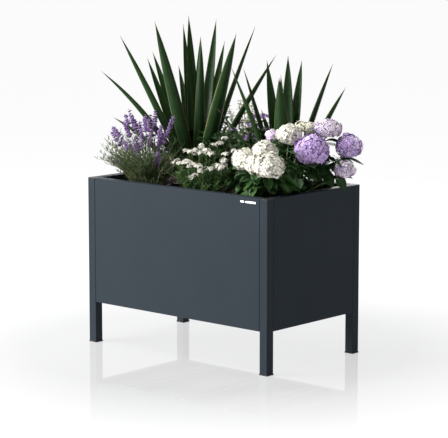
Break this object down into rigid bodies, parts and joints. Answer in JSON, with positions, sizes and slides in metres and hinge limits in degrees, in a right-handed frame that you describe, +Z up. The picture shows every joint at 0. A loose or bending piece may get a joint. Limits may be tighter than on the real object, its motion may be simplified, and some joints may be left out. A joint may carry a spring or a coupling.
{
  "type": "raised planter",
  "caption": "Rectangular raised planter of folded steel panels between square corner legs, lined, filled with soil and planted with agaves, lavender and hydrangea.",
  "frame": {"origin": "on the floor, under the middle of the four legs", "axes": "+Z up, +X along the long side to the right, -Y is the front"},
  "size_m": [1.1846, 0.593, 1.3865],
  "materials": {
    "anthracite_coat": "satin",
    "black_plastic": "matte",
    "zinc_fastener": "satin",
    "liner_film": "matte",
    "clay_gravel": "matte",
    "fleece": "matte",
    "soil": "matte",
    "bark": "matte",
    "label_white": "satin",
    "agave_leaf": "satin",
    "plant_crown": "matte",
    "grey_green_leaf": "matte",
    "lavender_bloom": "matte",
    "broad_leaf": "satin",
    "white_bloom": "matte",
    "lilac_bloom": "matte",
    "small_leaf": "matte",
    "small_white_bloom": "matte",
    "background_bloom": "matte"
  },
  "bodies": {
    "root": {"agave_large_crown": "plant_crown", "agave_large_leaves": "agave_leaf", "agave_small_crown": "plant_crown", "agave_small_leaves": "agave_leaf", "back_panel": "anthracite_coat", "background_flowers": "background_bloom", "background_foliage": "small_leaf", "bark_chips": "bark", "blank_label": "label_white", "candytuft_flowers": "small_white_bloom", "candytuft_foliage": "small_leaf", "drainage_gravel": "clay_gravel", "filter_fleece": "fleece", "floor_rail_left": "anthracite_coat", "floor_rail_middle": "anthracite_coat", "floor_rail_right": "anthracite_coat", "floor_tray": "anthracite_coat", "foot_back_left": "black_plastic", "foot_back_right": "black_plastic", "foot_front_left": "black_plastic", "foot_front_right": "black_plastic", "front_panel": "anthracite_coat", "hydrangea_foliage": "broad_leaf", "hydrangea_lilac_heads": "lilac_bloom", "hydrangea_white_heads": "white_bloom", "lavender_foliage": "grey_green_leaf", "lavender_spikes": "lavender_bloom", "left_panel": "anthracite_coat", "liner": "liner_film", "panel_screws": "zinc_fastener", "post_back_left": "anthracite_coat", "post_back_right": "anthracite_coat", "post_cap_back_left": "black_plastic", "post_cap_back_right": "black_plastic", "post_cap_front_left": "black_plastic", "post_cap_front_right": "black_plastic", "post_front_left": "anthracite_coat", "post_front_right": "anthracite_coat", "potting_soil": "soil", "rail_nuts": "zinc_fastener", "rail_screws": "zinc_fastener", "right_panel": "anthracite_coat", "rivet_nuts": "zinc_fastener"}
  },
  "joints": []
}
